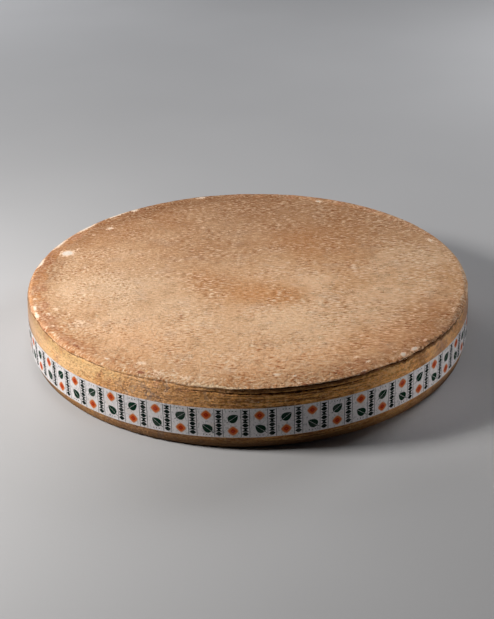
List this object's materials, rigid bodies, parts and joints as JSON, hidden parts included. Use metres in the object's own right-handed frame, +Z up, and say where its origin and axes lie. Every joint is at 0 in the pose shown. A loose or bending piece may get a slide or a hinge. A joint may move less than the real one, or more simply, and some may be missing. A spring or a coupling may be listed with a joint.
{
  "type": "comte cheese wheel",
  "caption": "Whole round wheel of hard cheese with a brown rind, a pressed lip and groove round its top edge and a paper label band round its side.",
  "frame": {"origin": "middle of the wheel's flat base, on the surface that it stands on", "axes": "+Z up through the middle of the wheel; -Y towards the side that the picture shows"},
  "size_m": [0.6409, 0.639, 0.0971],
  "materials": {
    "rind": "matte",
    "label_paper": "matte"
  },
  "bodies": {
    "root": {"cheese_wheel": "rind", "label_band": "label_paper"}
  },
  "joints": []
}
